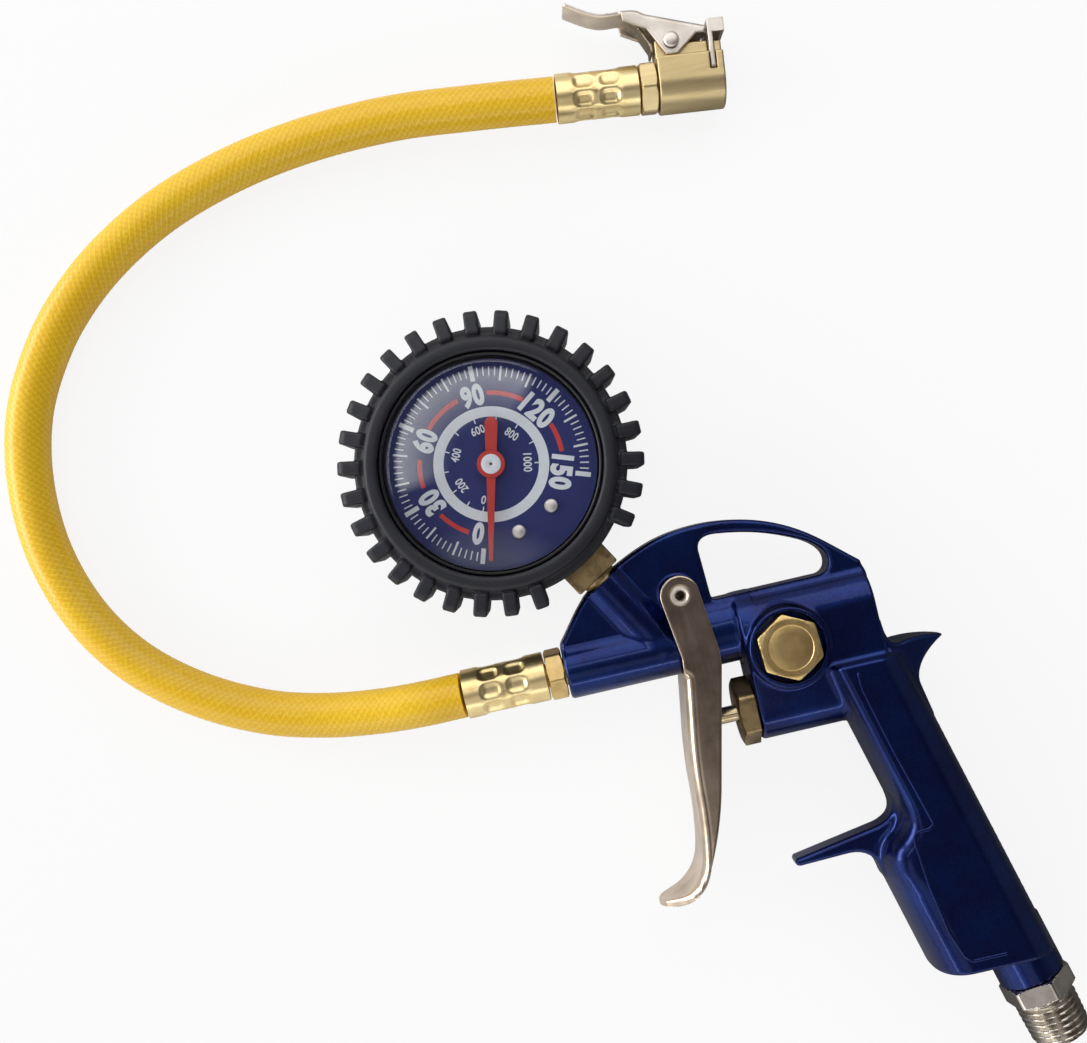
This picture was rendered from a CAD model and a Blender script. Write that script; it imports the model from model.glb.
# A tyre inflator: a cast gun with a trigger and a booted dial gauge, a short braided hose and a clip-on
# chuck. It lies on its side on a pale table and is seen from straight above.
import math
import bmesh
import bpy
import numpy as np
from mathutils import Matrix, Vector


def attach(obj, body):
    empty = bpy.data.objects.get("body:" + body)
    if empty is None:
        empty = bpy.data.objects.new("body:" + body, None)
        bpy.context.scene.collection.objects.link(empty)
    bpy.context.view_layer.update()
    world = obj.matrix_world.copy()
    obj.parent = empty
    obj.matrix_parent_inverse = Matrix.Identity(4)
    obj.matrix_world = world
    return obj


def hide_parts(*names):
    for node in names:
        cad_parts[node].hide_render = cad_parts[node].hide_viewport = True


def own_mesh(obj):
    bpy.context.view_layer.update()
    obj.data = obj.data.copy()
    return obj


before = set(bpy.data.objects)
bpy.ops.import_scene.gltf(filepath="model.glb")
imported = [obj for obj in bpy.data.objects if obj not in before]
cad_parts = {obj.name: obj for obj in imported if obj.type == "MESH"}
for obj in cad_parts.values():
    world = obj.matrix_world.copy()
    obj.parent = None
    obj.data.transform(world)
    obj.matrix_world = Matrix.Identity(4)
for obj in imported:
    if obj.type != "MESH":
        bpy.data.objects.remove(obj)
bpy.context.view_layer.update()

# ---------------------------------------------------------------------------------------------------
# Camera. It looks straight down from 300 mm above the gun's middle plane, turned 13 degrees, so that
# the barrel runs slightly downhill to the left. One pixel of the 1087 pixel picture is 0.22 mm there.
# Places in this file are in millimetres in a drawing frame: x runs back along the barrel from its
# mouth, y up from the barrel's axis and z up from the table. ORIGIN moves them to the part's frame.
ORIGIN = np.array([28.355, -11.573, 0.0])
MID = 11.0
PICTURE_TURN = math.radians(13)
PICTURE_WIDTH = 1087 * 0.22
CAMERA_HEIGHT = 300.0
CAMERA_AT = (2.6, 33.2)
SENSOR = 36.0


def metres(points):
    """Points of the drawing frame, in metres in the part's frame."""
    return (np.asarray(points, float) - ORIGIN) * 0.001


camera_data = bpy.data.cameras.new("camera")
camera_data.sensor_fit = "HORIZONTAL"
camera_data.sensor_width = SENSOR
camera_data.lens = SENSOR * CAMERA_HEIGHT / PICTURE_WIDTH
camera_data.clip_start = 0.01
camera = bpy.data.objects.new("camera", camera_data)
camera.location = metres((*CAMERA_AT, MID + CAMERA_HEIGHT))
camera.rotation_euler = (0, 0, -PICTURE_TURN)
bpy.context.scene.collection.objects.link(camera)
bpy.context.scene.camera = camera

# ---------------------------------------------------------------------------------------------------
# Hose. A PVC air hose of 10 mm, with a woven polyester braid under a clear yellow cover. It is pushed
# on a barb at each end under a crimped sleeve, and lies on the table in one wide bend.
HOSE_R = 5.0
HOSE_ROUTE = [
    (-23.2, 0, 11), (-33, 0, 10.4), (-43, 0.4, 8), (-54, 1.8, 5.9), (-66.8, 5.3, 5.1),
    (-80.5, 12.3, 5.1), (-91.8, 21.3, 5.1), (-99.3, 30.8, 5.1), (-104.2, 41, 5.1),
    (-107.1, 52.2, 5.1), (-107.75, 63.6, 5.1), (-106.5, 74.6, 5.1), (-103.6, 84.2, 5.1),
    (-98.6, 93.4, 5.1), (-92.2, 101.8, 5.1), (-81.6, 111.2, 5.1), (-67, 119.6, 5.1),
    (-50, 125.3, 5.1), (-31.4, 128.4, 5.1), (-10.4, 128.8, 5.6), (7.9, 126.8, 6.3), (26.2, 124.35, 6.8),
]


def curve_through(points, steps):
    """A smooth curve through the points, with a number of steps between each two."""
    points = np.asarray(points, float)
    ends = np.vstack([2 * points[0] - points[1], points, 2 * points[-1] - points[-2]])
    line = []
    for a, b, c, d in zip(ends[:-3], ends[1:-2], ends[2:-1], ends[3:]):
        first, middle, last = (np.linalg.norm(q - p) ** 0.5 for p, q in ((a, b), (b, c), (c, d)))
        leave = ((b - a) / first - (c - a) / (first + middle) + (c - b) / middle) * middle
        reach = ((c - b) / middle - (d - b) / (middle + last) + (d - c) / last) * middle
        t = np.linspace(0, 1, steps, endpoint=False)[:, None]
        cubic = 2 * b - 2 * c + leave + reach
        line.append(b + leave * t + (3 * c - 3 * b - 2 * leave - reach) * t**2 + cubic * t**3)
    return np.vstack([*line, points[-1:]])


def evenly(line, spacing):
    """The same line with its points a set distance apart."""
    along = np.concatenate([[0], np.cumsum(np.linalg.norm(np.diff(line, axis=0), axis=1))])
    places = np.linspace(0, along[-1], int(round(along[-1] / spacing)) + 1)
    return np.stack([np.interp(places, along, line[:, k]) for k in range(line.shape[1])], 1), places


def make_piece(name, points, faces, body, material, replaces=(), crease=35):
    """A mesh piece from points of the drawing frame, on its body and with its finish."""
    mesh = bpy.data.meshes.new(name)
    mesh.from_pydata(metres(points).tolist(), [], faces if isinstance(faces, list) else faces.tolist())
    shell = bmesh.new()
    shell.from_mesh(mesh)
    bmesh.ops.remove_doubles(shell, verts=shell.verts, dist=1e-6)
    if shell.calc_volume(signed=True) < 0:
        bmesh.ops.reverse_faces(shell, faces=shell.faces)
    shell.to_mesh(mesh)
    shell.free()
    mesh.shade_smooth()
    mesh.set_sharp_from_angle(angle=math.radians(crease))
    mesh.materials.append(material)
    piece = bpy.data.objects.new(name, mesh)
    bpy.context.scene.collection.objects.link(piece)
    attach(piece, body)
    if replaces:
        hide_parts(*replaces)
    return piece


def grid_faces(rows, columns):
    """Quads of a tube of rings, each ring with that many points."""
    row = np.arange(rows - 1)[:, None]
    column = np.arange(columns)[None, :]
    after = (column + 1) % columns
    corners = (row * columns + column, (row + 1) * columns + column)
    corners += ((row + 1) * columns + after, row * columns + after)
    return np.stack(corners, -1).reshape(-1, 4)


def linear(hex_colour):
    """An sRGB hex colour as the linear colour that a shader takes."""
    value = np.array([int(hex_colour[k:k + 2], 16) for k in (1, 3, 5)]) / 255
    straight = np.where(value <= 0.04045, value / 12.92, ((value + 0.055) / 1.055) ** 2.4)
    return (*straight, 1.0)


def join(tree, made, **inputs):
    """Sets or links a node's inputs, by the socket's name or by its number as i0, i1 and so on."""
    for key, value in inputs.items():
        socket = made.inputs[int(key[1:])] if key[1:].isdigit() else made.inputs[key.replace("_", " ")]
        if isinstance(value, bpy.types.NodeSocket):
            tree.links.new(value, socket)
        else:
            socket.default_value = value


def node(tree, kind, settings=None, **inputs):
    """Adds a node with its own settings, and sets or links its inputs."""
    made = tree.nodes.new("ShaderNode" + kind)
    for key, value in (settings or {}).items():
        setattr(made, key, value)
    join(tree, made, **inputs)
    return made


def new_material(name):
    """An empty material, its nodes, its Principled shader, and places on the piece in metres. A
    pattern's Scale is therefore how many of it go to a metre."""
    material = bpy.data.materials.new(name)
    material.use_nodes = True
    tree = material.node_tree
    return material, tree, tree.nodes["Principled BSDF"], node(tree, "TexCoord").outputs["Object"]


def hose_pvc():
    """Clear yellow PVC over a white braid: glossy outside, with the strands showing paler below and
    soft clouds of 17 mm in its yellow."""
    material, tree, shader, place = new_material("clear_yellow_pvc_over_braid")
    strand = node(tree, "Attribute", {"attribute_name": "strand"}).outputs["Fac"]
    cloud = node(tree, "TexNoise", Vector=place, Scale=60.0, Detail=3.0).outputs["Fac"]
    level = node(tree, "MapRange", Value=cloud, From_Min=0.35, From_Max=0.7, To_Min=-0.12, To_Max=0.12)
    shade = node(tree, "Math", {"operation": "ADD"}, i0=strand, i1=level.outputs[0]).outputs[0]
    ramp = node(tree, "ValToRGB", Fac=shade)
    ramp.color_ramp.elements[0].color = linear("#ecb400")
    ramp.color_ramp.elements[1].color = linear("#fcd628")
    ramp.color_ramp.elements.new(0.5).color = linear("#f4c206")
    bump = node(tree, "Bump", Height=strand, Strength=0.3, Distance=0.0001)
    join(tree, shader, Base_Color=ramp.outputs["Color"], Normal=bump.outputs[0], Roughness=0.42,
         IOR=1.53, Coat_Weight=0.25, Coat_Roughness=0.1)
    return material


def hose():
    """The tube: rings at right angles to the route, with the braid's strands standing a little proud."""
    sides = 72
    strands = 16
    lead = 24.0  # one turn of a strand round the hose
    proud = 0.07
    line, along = evenly(curve_through(HOSE_ROUTE, 40), 0.4)
    ahead = np.gradient(line, axis=0)
    ahead /= np.linalg.norm(ahead, axis=1)[:, None]
    side = np.cross(ahead, (0, 0, 1.0))
    side /= np.linalg.norm(side, axis=1)[:, None]
    up = np.cross(side, ahead)
    turn = np.arange(sides) / sides * 2 * math.pi
    left = strands * (turn[None, :] / (2 * math.pi) - along[:, None] / lead)
    right = strands * (turn[None, :] / (2 * math.pi) + along[:, None] / lead)
    over = np.cos(math.pi * (left + right)) * np.cos(math.pi * (left - right))
    bulge = np.where(over > 0, np.cos(2 * math.pi * left), np.cos(2 * math.pi * right)) * 0.5 + 0.5
    radius = HOSE_R - proud + proud * bulge
    round_way = np.cos(turn)[None, :, None] * side[:, None] + np.sin(turn)[None, :, None] * up[:, None]
    points = (line[:, None] + radius[..., None] * round_way).reshape(-1, 3)
    rows = len(line)
    faces = grid_faces(rows, sides).tolist()
    faces += [list(range(sides)), list(range((rows - 1) * sides, rows * sides))[::-1]]
    piece = make_piece("braided_hose", points, faces, "gun", hose_pvc(), ["hose"], 80)
    strand = piece.data.attributes.new("strand", "FLOAT", "POINT")
    strand.data.foreach_set("value", bulge.ravel().astype(np.float32))
    return piece, line


hose_piece, hose_line = hose()

# ---------------------------------------------------------------------------------------------------
# Ferrules. Sleeves of thin bright brass, crimped on the hose by eight jaws that leave two rows of
# square dents, with a plain band at the hose end and a slightly flared lip at the other.
FERRULE_R = 5.4
FERRULE_BORE_R = 3.1
FERRULE_LENGTH = 18.4
GAP = 0.3  # what is left between two pieces that touch
JAWS = 8  # of the crimping tool, each of which leaves one dent in a row
WAIST = (3.0, 15.0)  # where the crimp starts and ends along the sleeve
DENT_ROWS = (6.1, 11.8)
DENT_LENGTH = 3.4
DENT_WIDTH = 2.7
DENT_CORNER = 0.9
DENT_DEPTH = 0.36
GUN_HEX_LENGTH = 3.8
CHUCK_AT = np.array([26.5, 124.3, 6.8])
CHUCK_ANGLE = math.radians(-6.6)
CHUCK_DIR = np.array([math.cos(CHUCK_ANGLE), math.sin(CHUCK_ANGLE), 0])
UP = np.array([0, 0, 1.0])
BACK = np.array([1.0, 0, 0])  # back along the barrel


def turned_piece(name, rings, start, direction, body, material, replaces=(), sides=96, crease=35):
    """A piece turned about an axis, from rings of (radius, distance) whose radius may be an array. The
    rings end on the axis or come back to the first one."""
    axis = np.asarray(direction, float) / np.linalg.norm(direction)
    side = np.cross(axis, UP) if abs(axis[2]) < 0.9 else np.array([1.0, 0, 0])
    turn = np.arange(sides) / sides * 2 * math.pi
    way = np.cos(turn)[:, None] * side + np.sin(turn)[:, None] * np.cross(side, axis)
    points = [start + axis * at + np.broadcast_to(radius, sides)[:, None] * way for radius, at in rings]
    faces = grid_faces(len(rings), sides)
    return make_piece(name, np.vstack(points), faces, body, material, replaces, crease)


def brass(name, colour, dark, roughness, tarnish, stretch=(1, 1, 1)):
    """Brass: warm yellow metal, cloudy with handling in patches of 5 mm, and darker where it has
    tarnished. Its grain is drawn at 0.4 mm, coarser than real, so that it shows."""
    material, tree, shader, place = new_material(name)
    place = node(tree, "Mapping", Vector=place, Scale=stretch).outputs[0]
    cloud = node(tree, "TexNoise", Vector=place, Scale=220.0, Detail=6.0, Roughness=0.62).outputs["Fac"]
    stain = node(tree, "MapRange", Value=cloud, From_Min=0.42, From_Max=0.68, To_Max=tarnish).outputs[0]
    tone = node(tree, "Mix", {"data_type": "RGBA"}, i0=stain, i6=linear(colour), i7=linear(dark))
    fine = node(tree, "TexNoise", Vector=place, Scale=2600.0, Detail=3.0).outputs["Fac"]
    gloss = node(tree, "MapRange", Value=fine, To_Min=roughness * 0.75, To_Max=roughness * 1.3)
    bump = node(tree, "Bump", Height=fine, Strength=0.35, Distance=0.00001)
    join(tree, shader, Base_Color=tone.outputs[2], Roughness=gloss.outputs[0], Normal=bump.outputs[0],
         Metallic=1.0)
    return material


bright_brass = brass("pressed_bright_brass", "#ffe9ae", "#ecc97e", 0.31, 0.5)


def ferrule_rings(sides, twist):
    """Rings of the crimped sleeve: dents with flat floors and raised rims in a slightly drawn-in waist."""
    turn = np.arange(sides) / sides * 2 * math.pi
    pitch = 2 * math.pi / JAWS
    from_dent = np.abs((turn / pitch + twist) % 1 - 0.5) * pitch * FERRULE_R
    rings = [(FERRULE_BORE_R, 0), (FERRULE_R - 0.25, 0)]
    for s in np.arange(0.1, FERRULE_LENGTH, 0.15):
        waist = np.clip(min(s - WAIST[0], WAIST[1] - s) / 1.6, 0, 1)
        waist = waist * waist * (3 - 2 * waist)
        radius = FERRULE_R - 0.3 * waist + 0.12 * waist * np.cos(JAWS * turn + 2 * math.pi * twist)
        for centre in DENT_ROWS:
            along = np.abs(s - centre) - DENT_LENGTH / 2 + DENT_CORNER
            beside = from_dent - DENT_WIDTH / 2 + DENT_CORNER
            reach = np.hypot(np.maximum(along, 0), np.maximum(beside, 0)) - DENT_CORNER
            reach = reach + np.minimum(np.maximum(along, beside), 0)
            depth = np.clip(0.5 - reach / 1.2, 0, 1)
            depth = depth * depth * (3 - 2 * depth)
            rim = np.exp(-((reach - 0.75) / 0.5) ** 2)
            radius = radius - DENT_DEPTH * depth + 0.1 * rim
        rings.append((np.minimum(radius, FERRULE_R), s))
    end = FERRULE_LENGTH
    return rings + [(FERRULE_R - 0.2, end), (FERRULE_BORE_R, end), (FERRULE_BORE_R, 0)]


gun_ferrule_start = np.array([-GAP - GUN_HEX_LENGTH - GAP - FERRULE_LENGTH, 0, MID])
for name, node_name, start, direction, twist in (
    ("crimped_ferrule_at_gun", "ferrule_gun", gun_ferrule_start, BACK, 0.45),
    ("crimped_ferrule_at_chuck", "ferrule_chuck", CHUCK_AT, CHUCK_DIR, 0),
):
    rings = ferrule_rings(144, twist)
    turned_piece(name, rings, start, direction, "gun", bright_brass, [node_name], 144, 50)

# ---------------------------------------------------------------------------------------------------
# Hose fittings. Turned from hexagon brass bar: a barb in the hose, a chamfered hexagon to hold with a
# wrench, and a thread that goes into the barrel or into the chuck.
HEX_TURN = math.radians(10)  # how far a corner stands from straight up
GUN_HEX_AF = 10.1
CHUCK_HEX_AF = 10.6
CHUCK_START = 22.7  # where the chuck's body begins along its own axis
FITTING_BORE_R = 1.5
FITTING_THREAD_R = 3.05
BARB_STEP = 2.6
BARB_LENGTH = 15
machined_brass = brass("machined_brass", "#e6c98a", "#b8945a", 0.36, 0.6)
dull_brass = brass("handled_dull_brass", "#e6d19f", "#b59d6c", 0.38, 0.6, (0.06, 1, 1))


def hexagon_rings(across_flats, start, end, corner, sides, chamfered=(True, True)):
    """Rings of a hexagon with a corner at an angle. A cone cuts the corners of a chamfered end."""
    from_flat = (np.arange(sides) / sides * 2 * math.pi - corner) % (math.pi / 3) - math.pi / 6
    radius = np.minimum(across_flats / 2 / np.cos(from_flat), across_flats / math.sqrt(3) - 0.12)
    rings = []
    for place, ahead, cut in ((start, 1, chamfered[0]), (end, -1, chamfered[1])):
        depths = np.linspace(0, 1, 9) if cut else [0, 1]
        for depth in depths[::ahead]:
            limit = across_flats * 0.485 + depth * 2.4 if cut else across_flats
            rings.append((np.minimum(radius, limit), place + ahead * depth))
    return rings


def fitting_rings(across_flats, barb_from, hexagon_from, hexagon_to, thread_to, sides):
    """Bore, barb, hexagon and thread of a hose fitting, as one closed profile."""
    rings = [(FITTING_BORE_R, barb_from), (2.4, barb_from)]
    for k in range(4):
        s = barb_from + 1 + k * BARB_STEP
        rings += [(2.7, s), (2.35, s + 0.4)]
    rings += [(2.6, hexagon_from), (across_flats * 0.42, hexagon_from)]
    corner = math.pi / 6 - HEX_TURN
    rings += hexagon_rings(across_flats, hexagon_from, hexagon_to, corner, sides)
    rings += [(FITTING_THREAD_R, hexagon_to), (FITTING_THREAD_R, thread_to)]
    return rings + [(FITTING_BORE_R, thread_to), (FITTING_BORE_R, barb_from)]


gun_hex_from = -GAP - GUN_HEX_LENGTH
gun_rings = fitting_rings(GUN_HEX_AF, gun_hex_from - BARB_LENGTH, gun_hex_from, -GAP, 8, 144)
turned_piece("hose_fitting_at_gun", gun_rings, (0, 0, MID), BACK, "gun", machined_brass,
             ["hose_fitting_gun"], 144, 30)
chuck_rings = fitting_rings(CHUCK_HEX_AF, 3, FERRULE_LENGTH + GAP, CHUCK_START - GAP, 26, 144)
turned_piece("hose_fitting_at_chuck", chuck_rings, CHUCK_AT, CHUCK_DIR, "gun", dull_brass,
             ["hose_fitting_chuck"], 144, 30)

# ---------------------------------------------------------------------------------------------------
# Gun body. One zinc die casting: barrel, valve housing, a thin web with a window to hang it by, a boss
# for the gauge, a hollow grip with a finger rest and a horn. It is dipped in a metallic blue enamel.
BARREL_R = 6.2
BARREL_END_X = 42
FRONT_FACE_X = 38.6
REAR_X = 68.2
HOUSING_R = 8.0
STEM_Y = -17.3
VALVE_R = 6.9
WEB_HALF = 4.0
GRIP_FLAT = 10.75  # the thin bead on the grip's flat makes up the rest of the 11 mm
GRIP_TOP = (74.6, -22.6)
GRIP_ANGLE = math.radians(-75.5)
GRIP_DIR = np.array([math.cos(GRIP_ANGLE), math.sin(GRIP_ANGLE), 0])
GRIP_STEP_Y = -11.1
GRIP_BOTTOM_Y = -81.2
INLET = np.array([84.9, -87.4, MID])
INLET_BOSS_R = 7.3
PLUG = (47.7, -4.7)
PLUG_RING_R = 8.75  # the ring boss that the side plug sits in
PLUG_RING_TOP = 10.3
PLUG_RECESS_R = 7.7
PLUG_RECESS_FLOOR = 6.9
PLUG_BORE_R = 5.3
PIVOT = (27.4, 11.25)
PIVOT_BOSS_R = 4
PIVOT_BOSS_HALF = 7.9
PIVOT_BORE_R = 2
FINGER_REST_HALF = 3
GAUGE = (-5.5, 47.6)
GAUGE_BOSS_R = 6.0
GAUGE_BOSS_LENGTH = 20.5
STEM_ANGLE = math.radians(-59.5)
STEM_DIR = np.array([math.cos(STEM_ANGLE), math.sin(STEM_ANGLE), 0])
BOSS_FACE = np.array([*GAUGE, MID]) + 34.9 * STEM_DIR
SEAT_X = 52.5
CHAMBER_END_X = 68.0
CELL = 0.45


def bend(start, control, end, steps=8):
    """A parabolic stretch of an outline."""
    t = np.linspace(0, 1, steps + 1)[:, None]
    start, control, end = (np.array(p, float) for p in (start, control, end))
    return [tuple(p) for p in (1 - t) ** 2 * start + 2 * t * (1 - t) * control + t**2 * end]


def arc(centre, radius, first, last, steps=10):
    """A round stretch of an outline, between two angles in degrees."""
    turn = np.radians(np.linspace(first, last, steps + 1))
    return [(centre[0] + radius * math.cos(a), centre[1] + radius * math.sin(a)) for a in turn]


def outline_distance(x, y, outline):
    """Distance from a closed outline in a plane, below nought inside it."""
    nearest = np.full(np.broadcast(x, y).shape, np.inf)
    inside = np.zeros(nearest.shape, bool)
    for (ax, ay), (bx, by) in zip(outline, [*outline[1:], outline[0]]):
        ex, ey = bx - ax, by - ay
        length = ex * ex + ey * ey
        if length == 0:
            continue
        t = np.clip(((x - ax) * ex + (y - ay) * ey) / length, 0, 1)
        nearest = np.minimum(nearest, (x - ax - t * ex) ** 2 + (y - ay - t * ey) ** 2)
        if ey != 0:
            inside ^= ((ay > y) != (by > y)) & (x < ex * (y - ay) / ey + ax)
    return np.where(inside, -1, 1) * np.sqrt(nearest)


def edge(a, b, radius):
    """What lies inside both distances, with the edge between them rounded."""
    a, b = a + radius, b + radius
    return np.minimum(np.maximum(a, b), 0) + np.hypot(np.maximum(a, 0), np.maximum(b, 0)) - radius


def fused(a, b, radius):
    """Two bodies cast as one, with a fillet where they meet."""
    close = np.maximum(radius - np.abs(a - b), 0) / radius
    return np.minimum(a, b) - close * close * radius * 0.25


def slab(place, low, high):
    """Distance from what lies between two limits."""
    return np.abs(place - (low + high) / 2) - (high - low) / 2


def cut(body, tool):
    """A body with a tool's shape cut out of it."""
    return np.maximum(body, -tool)


def slope_of(distance, points, reach):
    """How fast a distance grows along each axis, measured over a small reach to both sides."""
    grown = [distance(*(points + e).T) - distance(*(points - e).T) for e in np.eye(3) * reach]
    return np.stack(grown, 1) / (2 * reach)


def round_bar(x, y, h, start, end, radius):
    """Distance from a round bar that lies in the middle plane."""
    dx, dy = end[0] - start[0], end[1] - start[1]
    length = math.hypot(dx, dy)
    dx, dy = dx / length, dy / length
    along = (x - start[0]) * dx + (y - start[1]) * dy
    across = np.hypot((x - start[0]) * -dy + (y - start[1]) * dx, h) - radius
    return np.maximum(across, np.abs(along - length / 2) - length / 2)


def cast_surface(distance, low, high, cell):
    """Points and quads of the surface where a distance is nought, found on a grid of cells."""
    axes = [np.arange(a, b + cell, cell) for a, b in zip(low, high)]
    shape = tuple(len(a) for a in axes)
    grid = np.broadcast_to(distance(axes[0][:, None, None], axes[1][None, :, None], axes[2]), shape)
    inside = grid < 0
    corners = [(i, j, k) for i in (0, 1) for j in (0, 1) for k in (0, 1)]
    span = [slice(i, n - 1 + i) for i in (0, 1) for n in shape]
    filled = [inside[span[3 * i], span[3 * j + 1], span[3 * k + 2]] for i, j, k in corners]
    count = sum(corner.astype(np.int8) for corner in filled)
    crossed = (count > 0) & (count < 8)
    index = np.full(crossed.shape, -1)
    index[crossed] = np.arange(crossed.sum())
    cells = np.argwhere(crossed)
    total = np.zeros((len(cells), 3))
    hits = np.zeros(len(cells))
    for corner in corners:
        for axis in range(3):
            if corner[axis]:
                continue
            near = cells + corner
            far = near + np.eye(3, dtype=int)[axis]
            a, b = grid[tuple(near.T)], grid[tuple(far.T)]
            hit = (a < 0) != (b < 0)
            place = near.astype(float)
            place[hit, axis] += a[hit] / (a - b)[hit]
            total[hit] += place[hit]
            hits += hit
    points = np.array(low) + cell * total / hits[:, None]
    quads = []
    for axis in range(3):
        one, two = np.eye(3, dtype=int)[(axis + 1) % 3], np.eye(3, dtype=int)[(axis + 2) % 3]
        lower = inside[tuple(slice(0, -1) if k == axis else slice(1, -1) for k in range(3))]
        upper = inside[tuple(slice(1, None) if k == axis else slice(1, -1) for k in range(3))]
        at = np.argwhere(lower != upper) + one + two
        ring = [index[tuple((at - step).T)] for step in (one + two, two, 0 * one, one)]
        quad = np.stack(ring, 1)
        outward = lower[lower != upper]
        quads.append(np.where(outward[:, None], quad, quad[:, ::-1]))
    for _ in range(2):
        value = distance(*points.T)
        slope = slope_of(distance, points, 0.02)
        step = value / np.maximum((slope**2).sum(1), 0.3)
        points -= slope * np.clip(step, -cell / 2, cell / 2)[:, None]
    return points, np.vstack(quads)


web_crest = [(0.3, 6.4), (8, 15.4), (18.2, 21.4), (26.6, 24.3), (35.8, 25.1), (44.5, 24), (51.6, 21.6)]
web_crest += [(58, 17.9), (67.8, 9.6)]
WEB = [(0.3, 0), *map(tuple, curve_through(web_crest, 6)), (REAR_X, 6.5), (REAR_X, 0)]
WINDOW = [
    (35.6, 8.4), *bend((58.4, 8.4), (61.2, 9), (61, 11.8)), *bend((61, 11.8), (60.8, 14.2), (57, 16.5)),
    *bend((57, 16.5), (48.6, 21), (38.4, 22.2)), *bend((38.4, 22.2), (34.2, 22.7), (34, 19.6)),
    *bend((34.4, 9.8), (34.4, 8.4), (35.6, 8.4)),
]
HORN = [
    (62, -4), (REAR_X, -4), *bend((REAR_X, -4), (REAR_X + 0.4, -9.2), (71.5, -9.4)),
    *bend((71.5, -9.4), (77, -8.6), (82.3, -10.3)), *bend((82.3, -10.3), (74.3, -14), (74.2, -18.9)),
    (75.4, -26), (62, -30),
]
FINGER_REST = [
    (67, -41), *bend((63.4, -42), (63.6, -46.6), (58.6, -47.8)), (40.3, -50.9),
    *arc((40.4, -51.8), 0.95, 99, 261), *bend((51.4, -52.4), (56.6, -52.4), (58.2, -58.5)), (67, -60),
]
GRIP_FRONT = [
    (52.6, -2.6), (63.2, -43.6), *bend((63.2, -43.6), (64.3, -48), (60.4, -50.4)),
    *bend((60.4, -50.4), (57.2, -52.6), (57.8, -58.4)), (67, -94), (140, -94), (140, -2.6),
]
GRIP_BEAD = [
    (60.45, -12.8), (60.6, -16.8), (61.7, -21.4), (64, -30.7), (66.8, -40.4), (68.9, -48), (67.6, -48.8),
    (65, -48.9), (64.2, -49.8), (64.2, -51.7), (65, -60.6), (66.9, -71.2), (69, -76.8), (70.4, -78.2),
    (78.35, -78.2),
]


def grip_section(ahead, u, q, nose):
    """The grip's section: flat sides, a rear face with wide chamfers and a rounded front."""
    a, b = np.maximum(ahead + nose, 0) / nose, q / GRIP_FLAT + 1e-6
    reach = (a**2.5 + b**2.5) ** 0.4
    front = reach * (reach - 1) / np.hypot(a / nose, b / GRIP_FLAT)
    chamfer = (u - 5.3) * -0.54 + (q - GRIP_FLAT) * 0.842
    rear = np.maximum((u - 1.4) * -0.928 + (q - 8.3) * 0.371, -u)
    return -fused(-front, fused(-chamfer, -rear, 1.2), 0.5)


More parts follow.
